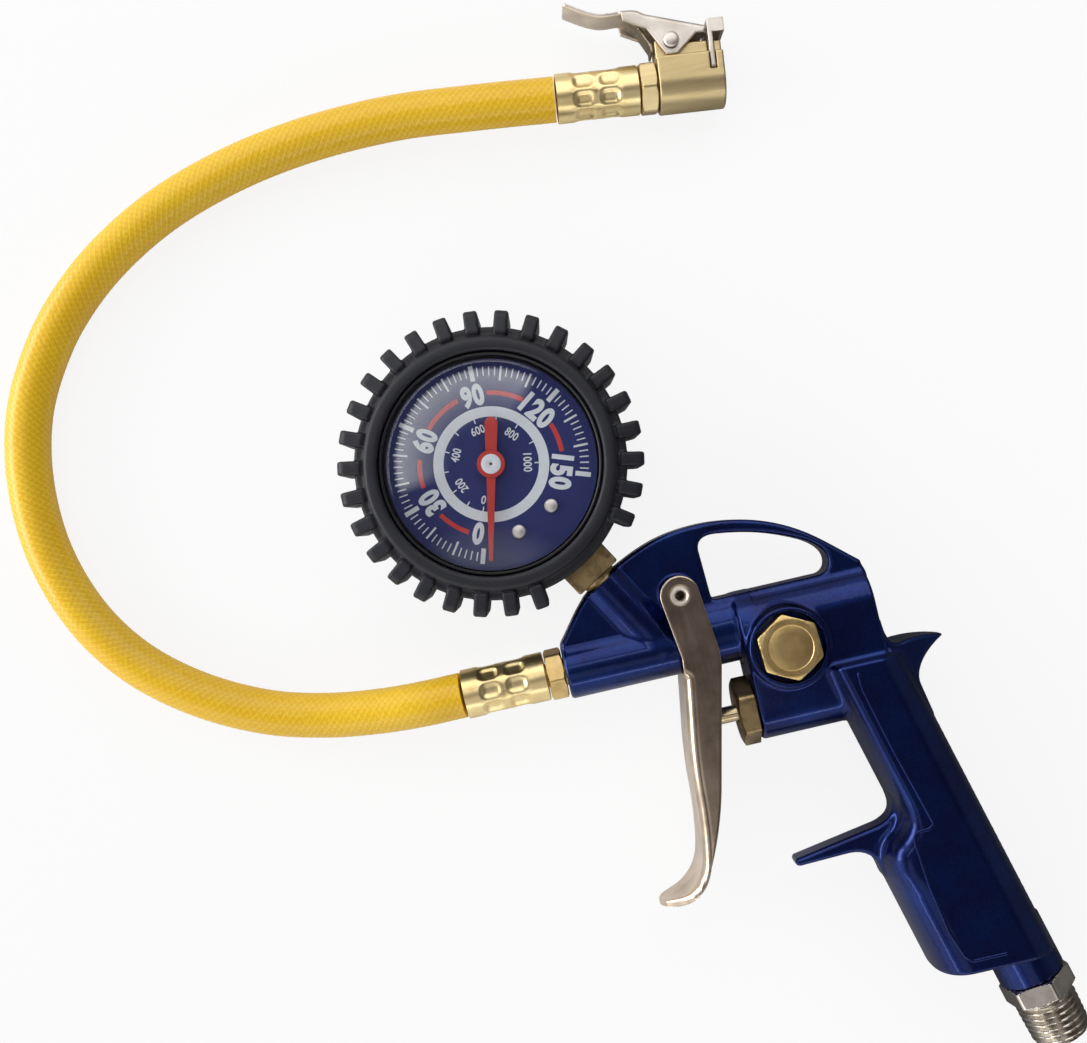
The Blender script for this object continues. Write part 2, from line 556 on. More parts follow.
def casting(x, y, z):
    """Distance from the casting: walls and bosses fused one after another, then bores and seats cut."""
    h = z - MID
    q = np.abs(h)
    web = cut(outline_distance(x, y, WEB), outline_distance(x, y, WINDOW))
    body = edge(web, q - WEB_HALF, 0.9)
    barrel = np.maximum(edge(np.hypot(y, h) - BARREL_R, -x, 0.8), x - BARREL_END_X)
    body = fused(body, barrel, 1.0)
    hump = np.maximum(edge(np.hypot(y - 2.1, h) - 6.3, 27 - x, 2), x - BARREL_END_X)
    body = fused(body, hump, 1.0)
    upper = np.hypot(y - np.clip(y, -10.5, 0.4), h) - HOUSING_R
    housing = fused(upper, np.hypot(y - STEM_Y, h) - VALVE_R, 3)
    body = fused(body, edge(housing, slab(x, FRONT_FACE_X, REAR_X), 0.9), 1.2)
    from_plug = np.hypot(x - PLUG[0], y - PLUG[1])
    body = fused(body, np.maximum(edge(from_plug - PLUG_RING_R, h - PLUG_RING_TOP, 0.6), -h), 1.2)
    from_pivot = np.hypot(x - PIVOT[0], y - PIVOT[1])
    body = fused(body, edge(from_pivot - PIVOT_BOSS_R, q - PIVOT_BOSS_HALF, 0.4), 0.8)
    boss_end = BOSS_FACE + GAUGE_BOSS_LENGTH * STEM_DIR
    body = fused(body, round_bar(x, y, h, BOSS_FACE, boss_end, GAUGE_BOSS_R), 0.7)
    s = (x - GRIP_TOP[0]) * GRIP_DIR[0] + (y - GRIP_TOP[1]) * GRIP_DIR[1]
    u = (x - GRIP_TOP[0]) * GRIP_DIR[1] - (y - GRIP_TOP[1]) * GRIP_DIR[0]
    nose = np.interp(s, [20, 36], [3, 7])
    grip = grip_section(outline_distance(x, y, GRIP_FRONT), u, q, nose)
    body = fused(body, edge(grip, slab(y, GRIP_BOTTOM_Y, GRIP_STEP_Y), 0.9), 1.6)
    horn_half = np.interp(x, [66, 69, 82.3], [6, 7.5, 2.6])
    body = fused(body, edge(outline_distance(x, y, HORN), q - horn_half, 1.0), 1.2)
    finger_rest = edge(outline_distance(x, y, FINGER_REST), q - FINGER_REST_HALF, 1.0)
    body = fused(body, finger_rest, 2.0)
    inlet_top = INLET - 12 * GRIP_DIR
    body = fused(body, round_bar(x, y, h, inlet_top, INLET, INLET_BOSS_R), 1.0)
    body = cut(body, np.maximum(from_plug - PLUG_RECESS_R, PLUG_RECESS_FLOOR - h))
    body = cut(body, np.maximum(from_plug - PLUG_BORE_R, slab(h, -3.5, 7.5)))
    bores = [
        ((-1, 0), (9, 0), 3.4), ((8, 0), (46, 0), 2.2),
        (BOSS_FACE - STEM_DIR, BOSS_FACE + 9 * STEM_DIR, 4.3), (BOSS_FACE, boss_end, 1.6),
        ((PLUG[0], STEM_Y), PLUG, 1.8), ((FRONT_FACE_X - 1, STEM_Y), (46, STEM_Y), 4.6),
        ((45.5, STEM_Y), (51, STEM_Y), 3.4), ((50.5, STEM_Y), (SEAT_X + 0.5, STEM_Y), 2.6),
        ((SEAT_X, STEM_Y), (CHAMBER_END_X, STEM_Y), 4.9),
        ((CHAMBER_END_X - 0.4, STEM_Y), INLET - 5 * GRIP_DIR, 3.2),
        (INLET - 9.6 * GRIP_DIR, INLET + GRIP_DIR, 5.9),
    ]
    for start, end, radius in bores:
        body = cut(body, round_bar(x, y, h, start, end, radius))
    return cut(body, from_pivot - PIVOT_BORE_R)


def enamel():
    """Metallic blue enamel: navy where it faces up, bright blue where light strikes it, and very
    glossy. Its flakes are drawn at 0.24 mm, coarser than real, and its orange peel at 2.4 mm."""
    material, tree, shader, place = new_material("metallic_blue_enamel_on_zinc")
    flake = node(tree, "TexVoronoi", Vector=place, Scale=4200.0).outputs["Color"]
    grey = node(tree, "SeparateColor", Color=flake).outputs[0]
    cloud = node(tree, "TexNoise", Vector=place, Scale=90.0, Detail=3.0).outputs["Fac"]
    tone = node(tree, "Math", {"operation": "MULTIPLY_ADD"}, i0=grey, i1=0.35, i2=cloud).outputs[0]
    ramp = node(tree, "ValToRGB", Fac=tone)
    ramp.color_ramp.elements[0].position = 0.35
    ramp.color_ramp.elements[0].color = linear("#13164a")
    ramp.color_ramp.elements[1].position = 0.95
    ramp.color_ramp.elements[1].color = linear("#123174")
    peel = node(tree, "TexNoise", Vector=place, Scale=420.0, Detail=2.0).outputs["Fac"]
    bump = node(tree, "Bump", Height=peel, Strength=0.5, Distance=0.00004).outputs[0]
    join(tree, shader, Base_Color=ramp.outputs["Color"], Normal=bump, Coat_Normal=bump, Metallic=0.92,
         Roughness=0.3, Coat_Weight=0.3, Coat_Roughness=0.06, Coat_IOR=1.52)
    return material


def bead(line, height):
    """A thin raised bead along a line on the grip's flat face, half round in section."""
    half, proud, sides = 0.38, 0.25, 12
    line, _ = evenly(np.array(line, float), 0.5)
    ahead = np.gradient(line, axis=0)
    ahead /= np.linalg.norm(ahead, axis=1)[:, None]
    across = np.stack([-ahead[:, 1], ahead[:, 0]], 1)
    rows = []
    for turn in np.radians(np.arange(0, 360, 360 // sides)):
        flat = line + across * half * math.cos(turn)
        rise = height + math.copysign(proud, height - MID) * math.sin(turn)
        rows.append(np.column_stack([flat, np.full(len(line), rise)]))
    points = np.stack(rows, 1)
    points[[0, -1]] = points[[0, -1]].mean(1, keepdims=True)
    return points.reshape(-1, 3), grid_faces(len(line), sides)


body_points, body_quads = cast_surface(casting, (-1.2, -91, -0.4), (93, 26.2, 22.4), CELL)
for height in (MID - GRIP_FLAT, MID + GRIP_FLAT):
    bead_points, bead_quads = bead(GRIP_BEAD, height)
    body_quads = np.vstack([body_quads, bead_quads + len(body_points)])
    body_points = np.vstack([body_points, bead_points])
body_piece = make_piece("cast_gun_body", body_points, body_quads, "gun", enamel(),
                        ["gun_body"], 62)


def true_normals(mesh, distance):
    """Shades a casting by the slope of its own distance, so that its highlights run smooth."""
    places = np.empty(len(mesh.vertices) * 3)
    mesh.vertices.foreach_get("co", places)
    places = places.reshape(-1, 3) * 1000 + ORIGIN
    shading = np.array([v.vector for v in mesh.vertex_normals])
    slope = slope_of(distance, places, 0.12)
    slope /= np.linalg.norm(slope, axis=1)[:, None] + 1e-9
    sure = (np.abs(distance(*places.T)) < 0.03) & ((slope * shading).sum(1) > 0.7)
    shading[sure] = slope[sure]
    mesh.normals_split_custom_set_from_vertices(shading.tolist())


true_normals(body_piece.data, casting)

# ---------------------------------------------------------------------------------------------------
# Side plug. A brass plug with a hexagon head, turned and chamfered, which closes the cross drilling
# between the valve and the barrel. It sits in the ring boss on the housing's near side.
PLUG_AF = 12.7
plug_rings = [(0, 1.5), (4.7, 1.5), (4.9, 1.7), (4.9, 7.2)]
plug_rings += hexagon_rings(PLUG_AF, 7.2, 11, math.radians(27), 120, (False, True))
plug_rings += [(5.9, 11), (4.95, 11), (4.8, 10.86), (4.65, 10.92), (2.4, 10.9), (0, 10.88)]
turned_piece("hexagon_side_plug", plug_rings, (*PLUG, MID), UP, "gun", machined_brass,
             ["side_plug"], 120, 30)

# ---------------------------------------------------------------------------------------------------
# Valve. A dull brass packing nut holds a rubber ring round a ground steel push rod. Behind it a brass
# poppet with a rubber washer is held shut by a coil spring of steel wire.
NUT_AF = 13.4
NUT_FRONT_X = 34.5
STEM_R = 1.8
STEM_FRONT_X = 24.8
tarnished_brass = brass("tarnished_brass", "#bda476", "#40362a", 0.4, 0.95)
nut_rings = [(2.1, 0.3), (2.4, 0), (3.5, 0), (3.62, 0.14), (3.8, 0.14), (3.95, 0)]
nut_rings += hexagon_rings(NUT_AF, 0, 3.8, 0, 144, (True, False))
nut_rings += [(4.2, 3.8), (4.2, 8.5), (2.1, 8.5), (2.1, 0.3)]
turned_piece("hexagon_packing_nut", nut_rings, (NUT_FRONT_X, STEM_Y, MID), BACK, "gun",
             tarnished_brass, ["packing_nut"], 144, 30)


def plated(name, colour, dark, roughness, grain, stretch=(1, 1, 1)):
    """Plated or drawn steel: a cool or warm grey mirror with haze in patches of 6 mm. It is broken by a
    fine grain of so many to the metre, drawn coarser than real so that it shows."""
    material, tree, shader, place = new_material(name)
    lines = node(tree, "Mapping", Vector=place, Scale=stretch).outputs[0]
    fine = node(tree, "TexNoise", Vector=lines, Scale=grain, Detail=4.0).outputs["Fac"]
    cloud = node(tree, "TexNoise", Vector=place, Scale=160.0, Detail=4.0).outputs["Fac"]
    haze = node(tree, "MapRange", Value=cloud, From_Min=0.4, From_Max=0.7).outputs[0]
    tone = node(tree, "Mix", {"data_type": "RGBA"}, i0=haze, i6=linear(colour), i7=linear(dark))
    gloss = node(tree, "MapRange", Value=fine, To_Min=roughness * 0.7, To_Max=roughness * 1.35)
    bump = node(tree, "Bump", Height=fine, Strength=0.25, Distance=0.00001)
    join(tree, shader, Base_Color=tone.outputs[2], Roughness=gloss.outputs[0], Normal=bump.outputs[0],
         Metallic=1.0)
    return material


rod_length = SEAT_X - STEM_FRONT_X
rod_rings = [(0, 0), (0.8, 0.04), (1.3, 0.2), (1.65, 0.55), (STEM_R, 1), (STEM_R, rod_length)]
rod_rings += [(0, rod_length)]
passivated_steel = plated("yellow_passivated_steel", "#dccba6", "#a8946c", 0.2, 2400.0)
turned_piece("ground_push_rod", rod_rings, (STEM_FRONT_X, STEM_Y, MID), BACK, "valve_stem",
             passivated_steel, ["valve_stem"], 64)

SPRING_R = 3.0
SPRING_WIRE_R = 0.4
SPRING_TURNS = 5
SPRING_START_X = SEAT_X + GAP + 3.2 + GAP
SPRING_END_X = CHAMBER_END_X - GAP
spring_steel = plated("drawn_spring_steel", "#b4a690", "#7d705c", 0.28, 3000.0)


def coil_spring():
    """A helix of round wire whose two ends lie flat, from the poppet to the chamber's end."""
    steps = SPRING_TURNS * 36
    part = np.linspace(0, 1, steps + 1)
    turn = part * SPRING_TURNS * 2 * math.pi
    free = SPRING_END_X - SPRING_START_X - 2 * SPRING_WIRE_R
    x = SPRING_START_X + SPRING_WIRE_R + free * part
    out = np.stack([0 * turn, np.cos(turn), np.sin(turn)], 1)
    line = np.stack([x, 0 * x + STEM_Y, 0 * x + MID], 1) + SPRING_R * out
    rows = []
    for around in np.arange(12) / 12 * 2 * math.pi:
        rows.append(line + SPRING_WIRE_R * (math.cos(around) * out + math.sin(around) * BACK))
    points = np.stack(rows, 1).reshape(-1, 3)
    faces = grid_faces(steps + 1, 12).tolist()
    return points, faces + [list(range(12))[::-1], list(range(steps * 12, steps * 12 + 12))]


spring_points, spring_faces = coil_spring()
spring = make_piece("poppet_coil_spring", spring_points, spring_faces, "gun",
                    spring_steel, ["poppet_spring"], 60)
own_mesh(spring)

# ---------------------------------------------------------------------------------------------------
# Inlet fitting. Steel turned and milled from hexagon bar and nickel plated, with a quarter-inch taper
# pipe thread for the air line. It is screwed into the boss at the grip's end.
INLET_AF = 14.0
HEX_LENGTH = 4.6
THREAD_LENGTH = 10.0
THREAD_PITCH = 1.411
nickel = plated("nickel_plated_steel", "#ddd6cb", "#b8afa3", 0.2, 2400.0)


def inlet_rings(sides):
    """Tail, hexagon and helical thread outside, and a plain bore inside."""
    turn = np.arange(sides) / sides
    rings = [(3.8, -9), (5.2, -9), (5.5, -8.6), (5.5, -0.4), (5.9, 0)]
    rings += hexagon_rings(INLET_AF, 0, HEX_LENGTH, math.radians(40), sides)
    rings += [(6.3, HEX_LENGTH), (5.75, HEX_LENGTH + 0.25)]
    for s in np.arange(0.3, THREAD_LENGTH, 0.1):
        wave = np.abs(((s / THREAD_PITCH - turn) % 1) * 2 - 1)
        ridge = np.clip(1.15 * wave - 0.05, 0, 1)
        crest = 6.79 - s / 32
        height = 0.95 * ridge * min(1, (s - 0.3) / 1.2)
        rings.append((np.minimum(crest - 0.95 + height, 5.75 + (THREAD_LENGTH - s)), HEX_LENGTH + s))
    end = HEX_LENGTH + THREAD_LENGTH
    return rings + [(5.6, end), (4.1, end), (3.8, end - 0.3), (3.8, -9)]


inlet_start = INLET + GAP * GRIP_DIR
turned_piece("threaded_inlet_fitting", inlet_rings(144), inlet_start, GRIP_DIR, "gun", nickel,
             ["inlet_fitting"], 144, 40)

# ---------------------------------------------------------------------------------------------------
# Trigger. One strip of steel, 1.2 mm thick, blanked, bent to a channel that is open towards the grip
# and nickel plated. It swings on a brass rivet through the casting's pivot boss.
SHEET = 1.2
TRIGGER_HALF = 9.4
TRIGGER_BEND_R = 2.2
TIP_CUT_X = 8.7
FRONT_TOP_Y = -6.6
front_line = [(24.4, FRONT_TOP_Y), (23.4, -13), (22.1, -21.3), (21.4, -28), (21.1, -34), (20.5, -40)]
front_line += [(19.3, -46.2), (17.4, -49.8), (14.2, -52.2), (9.6, -53.1)]
trigger_front = [tuple(p) for p in curve_through(front_line, 4)]
cheek_front = trigger_front[:26][::-1]  # the cheeks fade out where the front turns to its tip
BEHIND_FRONT = [(18, 24), (20.5, -3), *trigger_front, (0, -55), (0, -80), (60, -80), (60, 24)]
CHEEK = [
    (24.4, FRONT_TOP_Y), (24.8, -2), (23.2, 10.2), *arc(PIVOT, 4.3, 180, 18, 16), (33.1, -1.9),
    (32.9, -4.7), *bend((26.8, -31), (24.6, -40), (20.2, -48.4)), *cheek_front,
]
TIP_X = [8.6, 8.8, 9.2, 10, 11, 12.5, 14, 16, 18, 20.5]
TIP_HALF = [0.2, 1.3, 2.5, 3.7, 4.6, 5.7, 6.8, 8.1, 9.0, TRIGGER_HALF]


def trigger_sheet(x, y, z):
    """Distance from the bent sheet: what lies between its outer and inner faces and in its blank."""
    q = np.abs(z - MID)
    front = outline_distance(x, y, BEHIND_FRONT)
    half = np.interp(x, TIP_X, TIP_HALF)
    bent = np.interp(x, [13, 19], [0.5, TRIGGER_BEND_R])
    outer = edge(front, q - half, bent)
    inner = edge(front + SHEET, q - half + SHEET, np.maximum(bent - SHEET, 0.05))
    wall = np.maximum(-front - SHEET - 0.6, y - FRONT_TOP_Y)
    blank = np.maximum(np.minimum(outline_distance(x, y, CHEEK), wall), TIP_CUT_X - x)
    blank = cut(blank, np.hypot(x - PIVOT[0], y - PIVOT[1]) - PIVOT_BORE_R)
    return edge(cut(outer, inner), blank, 0.3)


satin_nickel = plated("satin_nickel_plated_steel", "#efe7dd", "#cfc5b9", 0.42, 1500.0)
trigger_nickel = plated("nickel_plated_trigger_sheet", "#dccab4", "#b8a68f", 0.18, 900.0, (1, 0.15, 1))
fine_cell = 0.28
points, quads = cast_surface(trigger_sheet, (8, -54.5, 1), (34.5, 16.4, 21), fine_cell)
make_piece("bent_trigger", points, quads, "trigger", trigger_nickel, ["trigger"], 50)

RIVET_HEAD = TRIGGER_HALF + GAP
rivet_half = [(1.0, 0), (1.0, RIVET_HEAD), (1.3, RIVET_HEAD + 0.6), (1.65, RIVET_HEAD + 0.9)]
rivet_half += [(2.0, RIVET_HEAD + 0.85), (2.2, RIVET_HEAD + 0.5), (2.2, RIVET_HEAD), (1.7, RIVET_HEAD)]
rivet_rings = rivet_half + [(r, -z) for r, z in rivet_half[::-1]]
turned_piece("hollow_trigger_rivet", rivet_rings, (*PIVOT, MID), UP, "gun", satin_nickel,
             ["trigger_pin"], 64)

# ---------------------------------------------------------------------------------------------------
# Gauge boot. Black rubber, moulded in one piece round the gauge, with a lip over its rim and 27 teeth
# that take a knock. It has the dull slate sheen of moulded rubber.
BOOT_R = 28.9
BOOT_H = 26.0
LIP_R = 23.8
TOOTH_R = 32.5
TOOTH_HALF = 1.5
TOOTH_COUNT = 27
STEM_SLOT_HALF = 6.2
TOOTH_STEP = math.radians(12)
TOOTH_START = math.radians(-35)
BOOT_WALL = [
    (-1, 0), (BOOT_R - 1.1, 0), *arc((BOOT_R - 1.1, 1.1), 1.1, -80, 0, 5),
    *arc((BOOT_R - 0.7, BOOT_H - 3.1), 0.7, 0, 90, 5), (BOOT_R - 1.9, BOOT_H - 2.3),
    *arc((BOOT_R - 3.4, BOOT_H - 1.4), 1.4, -20, 90, 8),
    *arc((LIP_R + 0.8, BOOT_H - 0.8), 0.8, 90, 180, 6), (LIP_R, BOOT_H - 2), (26.1, BOOT_H - 2),
    (26.1, 2), (-1, 2),
]
TOOTH = [
    (26.4, 2.5), (TOOTH_R - 1.5, 2.5), (TOOTH_R, 4), (TOOTH_R, BOOT_H - 4.2),
    *bend((TOOTH_R, BOOT_H - 3.2), (TOOTH_R - 0.2, BOOT_H - 1.7), (TOOTH_R - 1.8, BOOT_H - 1.5)),
    (27.6, BOOT_H - 0.9), (27, BOOT_H - 1.6),
]


def boot(x, y, z):
    """Distance from the boot: a wall and teeth turned round the gauge, with a slot for its stem."""
    dx, dy = x - GAUGE[0], y - GAUGE[1]
    out = np.hypot(dx, dy)
    turn = (np.arctan2(dy, dx) - TOOTH_START) % (2 * math.pi)
    turn = np.where(turn > 2 * math.pi - TOOTH_STEP, turn - 2 * math.pi, turn)
    turn = turn - np.clip(np.round(turn / TOOTH_STEP), 0, TOOTH_COUNT - 1) * TOOTH_STEP
    across = np.abs(out * np.sin(turn))
    tooth = edge(outline_distance(out * np.cos(turn), z, TOOTH), across - TOOTH_HALF, 0.5)
    body = fused(outline_distance(out, z, BOOT_WALL), tooth, 0.35)
    along = dx * STEM_DIR[0] + dy * STEM_DIR[1]
    beside = np.abs(dx * STEM_DIR[1] - dy * STEM_DIR[0])
    slot = np.maximum(np.maximum(beside, np.abs(z - MID)) - STEM_SLOT_HALF, slab(along, 20, 40))
    return cut(body, slot)


def rubber(name, colour, pale, roughness):
    """Moulded rubber: a dull dark face with a dusty bloom in patches of 8 mm, and a satin grain that
    is drawn at 0.3 mm, coarser than real."""
    material, tree, shader, place = new_material(name)
    bloom = node(tree, "TexNoise", Vector=place, Scale=120.0, Detail=5.0).outputs["Fac"]
    tone = node(tree, "Mix", {"data_type": "RGBA"}, i0=bloom, i6=linear(colour), i7=linear(pale))
    grain = node(tree, "TexNoise", Vector=place, Scale=3200.0, Detail=2.0).outputs["Fac"]
    gloss = node(tree, "MapRange", Value=bloom, To_Min=roughness - 0.08, To_Max=roughness + 0.1)
    bump = node(tree, "Bump", Height=grain, Strength=0.3, Distance=0.00003)
    join(tree, shader, Base_Color=tone.outputs[2], Roughness=gloss.outputs[0], Normal=bump.outputs[0],
         IOR=1.5)
    return material


boot_rubber = rubber("moulded_boot_rubber", "#13141a", "#20222b", 0.5)
points, quads = cast_surface(boot, (-38.8, 14.3, -0.3), (27.8, 80.9, 26.4), CELL)
make_piece("toothed_rubber_boot", points, quads, "gun", boot_rubber, ["gauge_boot"], 60)

# ---------------------------------------------------------------------------------------------------
# Gauge front. A pressed steel bezel in black lacquer holds a moulded acrylic lens, which is domed so
# that it stands a pressure from outside. The lens shows the lights as soft grey patches.
LENS_R = 22.6
LENS_TOP = 25.6
LENS_THICK = 0.75
gauge_axis = (*GAUGE, 0)
bezel_rings = [(22.9, 22.9), (24.7, 22.9), (24.7, 23.5), (23.9, 23.62), (23.5, 23.85), (23.5, 24.5)]
bezel_rings += [(23.35, 24.68), (23.1, 24.7), (22.9, 24.5), (22.9, 22.9)]


def painted(name, colour, pale, roughness):
    """Paint or print: an even colour with a faint cloud of 2 mm in it and a slight orange peel."""
    material, tree, shader, place = new_material(name)
    cloud = node(tree, "TexNoise", Vector=place, Scale=500.0, Detail=5.0).outputs["Fac"]
    tone = node(tree, "Mix", {"data_type": "RGBA"}, i0=cloud, i6=linear(colour), i7=linear(pale))
    gloss = node(tree, "MapRange", Value=cloud, To_Min=roughness - 0.06, To_Max=roughness + 0.06)
    bump = node(tree, "Bump", Height=cloud, Strength=0.2, Distance=0.00001)
    join(tree, shader, Base_Color=tone.outputs[2], Roughness=gloss.outputs[0], Normal=bump.outputs[0],
         IOR=1.5)
    return material


black_lacquer = painted("black_lacquered_steel", "#0c0d11", "#14151a", 0.5)
turned_piece("lacquered_bezel", bezel_rings, gauge_axis, UP, "gun", black_lacquer,
             ["bezel_ring"], 144)


def acrylic():
    """Clear acrylic: glass to the eye, with faint wiped patches of 11 mm. Shadow and diffuse rays go
    straight through it, so that the dial below is lit as if it were bare."""
    material, tree, shader, place = new_material("clear_moulded_acrylic")
    wipe = node(tree, "TexNoise", Vector=place, Scale=90.0, Detail=5.0).outputs["Fac"]
    gloss = node(tree, "MapRange", Value=wipe, From_Min=0.4, From_Max=0.8, To_Min=0.0, To_Max=0.05)
    join(tree, shader, Roughness=gloss.outputs[0], Base_Color=linear("#fbfdff"),
         Transmission_Weight=1.0, IOR=1.49)
    ray = node(tree, "LightPath").outputs
    kinds = {"i0": ray["Is Shadow Ray"], "i1": ray["Is Diffuse Ray"]}
    passing = node(tree, "Math", {"operation": "MAXIMUM"}, **kinds)
    clear = node(tree, "BsdfTransparent", Color=linear("#f4f7fb"))
    mix = node(tree, "MixShader", Fac=passing.outputs[0], i1=shader.outputs[0], i2=clear.outputs[0])
    join(tree, tree.nodes["Material Output"], Surface=mix.outputs[0])
    return material


def dome(radius):
    """Height of the lens's outer face above the table."""
    return LENS_TOP - 1.5 * (radius / LENS_R) ** 2


lens_rings = [(r, dome(r)) for r in np.linspace(0, LENS_R, 24)] + [(LENS_R, 23.4)]
lens_rings += [(r, dome(r) - LENS_THICK) for r in np.linspace(LENS_R - 0.3, 0, 24)]
turned_piece("domed_lens", lens_rings, gauge_axis, UP, "gun", acrylic(), ["gauge_lens"], 144, 50)

# ---------------------------------------------------------------------------------------------------
# Dial. A thin aluminium disc, painted navy and screen printed in white and red: pressure in psi round
# the edge and in kPa inside a white ring. Two small screws hold it on the movement.
DIAL_R = 22.4
DIAL_Z = 20.2
INK = 0.03  # thickness of a printed layer
PRINT_TURN = math.radians(-13)  # the dial's own angles are given as the camera sees them
NOUGHT = 265.0
FULL_SCALE = -6.0
FULL_PSI = 150
NUMBER_R = 15.0
INNER_NUMBER_R = 7.75
RED_BAND = (14.75, 15.75)
WHITE_RING = (10.15, 12.35)
SCREW_CIRCLE_R = 15.5
SCREW_ANGLES = (math.radians(-47.7), math.radians(-80.6))
dial_navy = painted("navy_dial_paint", "#1c2560", "#222d6c", 0.75)
dial_white = painted("white_dial_print", "#f1f1ee", "#e6e6e4", 0.55)
dial_red = painted("red_dial_print", "#dc3f36", "#d0352e", 0.55)
dial_rings = [(1.6, DIAL_Z - 0.6), (DIAL_R, DIAL_Z - 0.6), (DIAL_R, DIAL_Z - 0.05)]
dial_rings += [(DIAL_R - 0.05, DIAL_Z), (1.6, DIAL_Z), (1.6, DIAL_Z - 0.6)]
turned_piece("painted_dial_disc", dial_rings, gauge_axis, UP, "gun", dial_navy,
             ["dial_plate"], 144)


def dial_way(degrees):
    """Outward and clockwise directions at one of the dial's own angles."""
    turn = math.radians(degrees) + PRINT_TURN
    return np.array([math.cos(turn), math.sin(turn)]), np.array([math.sin(turn), -math.cos(turn)])


def printed_patch(outline):
    """A patch of ink with straight or curved sides, from its outline on the dial."""
    count = len(outline)
    low_points = np.column_stack([outline, np.full(count, DIAL_Z)])
    high_points = low_points + UP * INK
    faces = [list(range(count, 2 * count)), list(range(count))[::-1]]
    faces += [[k, (k + 1) % count, (k + 1) % count + count, k + count] for k in range(count)]
    return np.vstack([low_points, high_points]), faces


def printed_arc(inner, outer, first, last):
    """A band of ink round the dial's centre, or a closed ring."""
    steps = max(2, round(abs(last - first) / 2))
    closed = abs(last - first) == 360
    angles = np.linspace(first, last, steps + 1)[:steps if closed else None]
    ways = np.array([dial_way(a)[0] for a in angles])
    count = len(ways)
    corners = ((inner, DIAL_Z), (outer, DIAL_Z), (outer, DIAL_Z + INK), (inner, DIAL_Z + INK))
    rows = [np.column_stack([ways * r + GAUGE, np.full(count, z)]) for r, z in corners]
    points = np.stack(rows, 1).reshape(-1, 3)
    faces = (grid_faces(count + closed, 4) % (count * 4)).tolist()
    ends = [] if closed else [[0, 1, 2, 3], [4 * count - 1 - k for k in range(4)]]
    return points, faces + ends


def printed_tick(inner, outer, width, degrees):
    """A straight mark that points at the dial's centre."""
    out, side = dial_way(degrees)
    corners = [(inner, -1), (inner, 1), (outer, 1), (outer, -1)]
    return printed_patch(np.array([out * r + side * width / 2 * s for r, s in corners]) + GAUGE)


def printed_number(text, degrees, radius, height, width, bold):
    """A number set with its top outwards, from plain digits drawn narrow and heavy."""
    letters = bpy.data.curves.new("digits", "FONT")
    letters.body = text
    letters.offset = bold
    letters.space_character = 1 + 2.2 * bold
    letters.extrude = 0.01
    letters.resolution_u = 6
    carrier = bpy.data.objects.new("digits", letters)
    bpy.context.scene.collection.objects.link(carrier)
    bpy.context.view_layer.update()
    mesh = bpy.data.meshes.new_from_object(carrier)
    points = np.array([v.co for v in mesh.vertices])
    faces = [list(p.vertices) for p in mesh.polygons]
    bpy.data.objects.remove(carrier)
    bpy.data.curves.remove(letters)
    bpy.data.meshes.remove(mesh)
    low_corner, high_corner = points.min(0), points.max(0)
    points = (points - (low_corner + high_corner) / 2) / (high_corner - low_corner)
    out, side = dial_way(degrees)
    flat = out * (radius + points[:, 1:2] * height) + side * points[:, :1] * width
    height_of = DIAL_Z + INK * (points[:, 2] + 0.5)
    return np.column_stack([flat + GAUGE, height_of]), faces


def print_piece(name, patches, material):
    """All patches of one ink as one piece."""
    points = np.vstack([p for p, _ in patches])
    faces = []
    start = 0
    for patch_points, patch_faces in patches:
        faces += [[k + start for k in face] for face in patch_faces]
        start += len(patch_points)
    make_piece(name, points, faces, "gun", material)


def psi_angle(psi):
    """The dial's angle for a pressure: its marks are evenly spaced."""
    return NOUGHT + (FULL_SCALE - NOUGHT) * psi / FULL_PSI


# ticks are given by their inner end, outer end and width: each 2 psi, each 10, and each 30 with a number
white = []
for psi in range(0, FULL_PSI + 1, 2):
    if psi % 10:
        white.append(printed_tick(18.9, 20.8, 0.26, psi_angle(psi)))
for psi in range(0, FULL_PSI + 1, 10):
    inner, outer, width = (17.9, 21, 0.45) if psi % 30 else (18, 21.3, 1.0)
    white.append(printed_tick(inner, outer, width, psi_angle(psi)))
NUMBERS = {0: 259.4, 30: 212.7, 60: 160.7, 90: 105.5, 120: 49.2, 150: -6.5}
for psi, degrees in NUMBERS.items():
    white.append(printed_number(str(psi), degrees, NUMBER_R, 4.9, 2.5 * len(str(psi)) - 0.1, 0.055))
white.append(printed_arc(*WHITE_RING, 0, 360))
for degrees in (260, 239.9, 216.7, 190.1, 165, 138.8, 111.4, 84, 56.3, 28.5, 2.1):
    white.append(printed_tick(9.2, 10.25, 0.25, degrees))
INNER_NUMBERS = {0: 258, 200: 215.7, 400: 166, 600: 111.8, 800: 55.9, 1000: 2.7}
for value, degrees in INNER_NUMBERS.items():
    width = 0.98 * len(str(value))
    white.append(printed_number(str(value), degrees, INNER_NUMBER_R, 1.85, width, 0.02))
print_piece("dial_print_in_white", white, dial_white)
red = []
for first, last in ((252, 225), (199.5, 176.5), (151, 118), (94, 64), (34, 10.5)):
    red.append(printed_arc(*RED_BAND, first, last))
print_piece("dial_print_in_red", red, dial_red)

screw_rings = [(0, -3), (0.6, -3), (0.6, 0.3), (1.47, 0.3), (1.5, 0.45), (1.32, 0.75), (0.8, 0.94)]
screw_rings += [(0, 1)]
for number, angle in enumerate(SCREW_ANGLES, 1):
    out = SCREW_CIRCLE_R * np.array([math.cos(angle), math.sin(angle)])
    screw_at = np.array([*(GAUGE + out), DIAL_Z])
    turned_piece(f"dial_screw_head_{number}", screw_rings, screw_at, UP, "gun", satin_nickel,
                 [f"dial_screw_{number}"], 48)

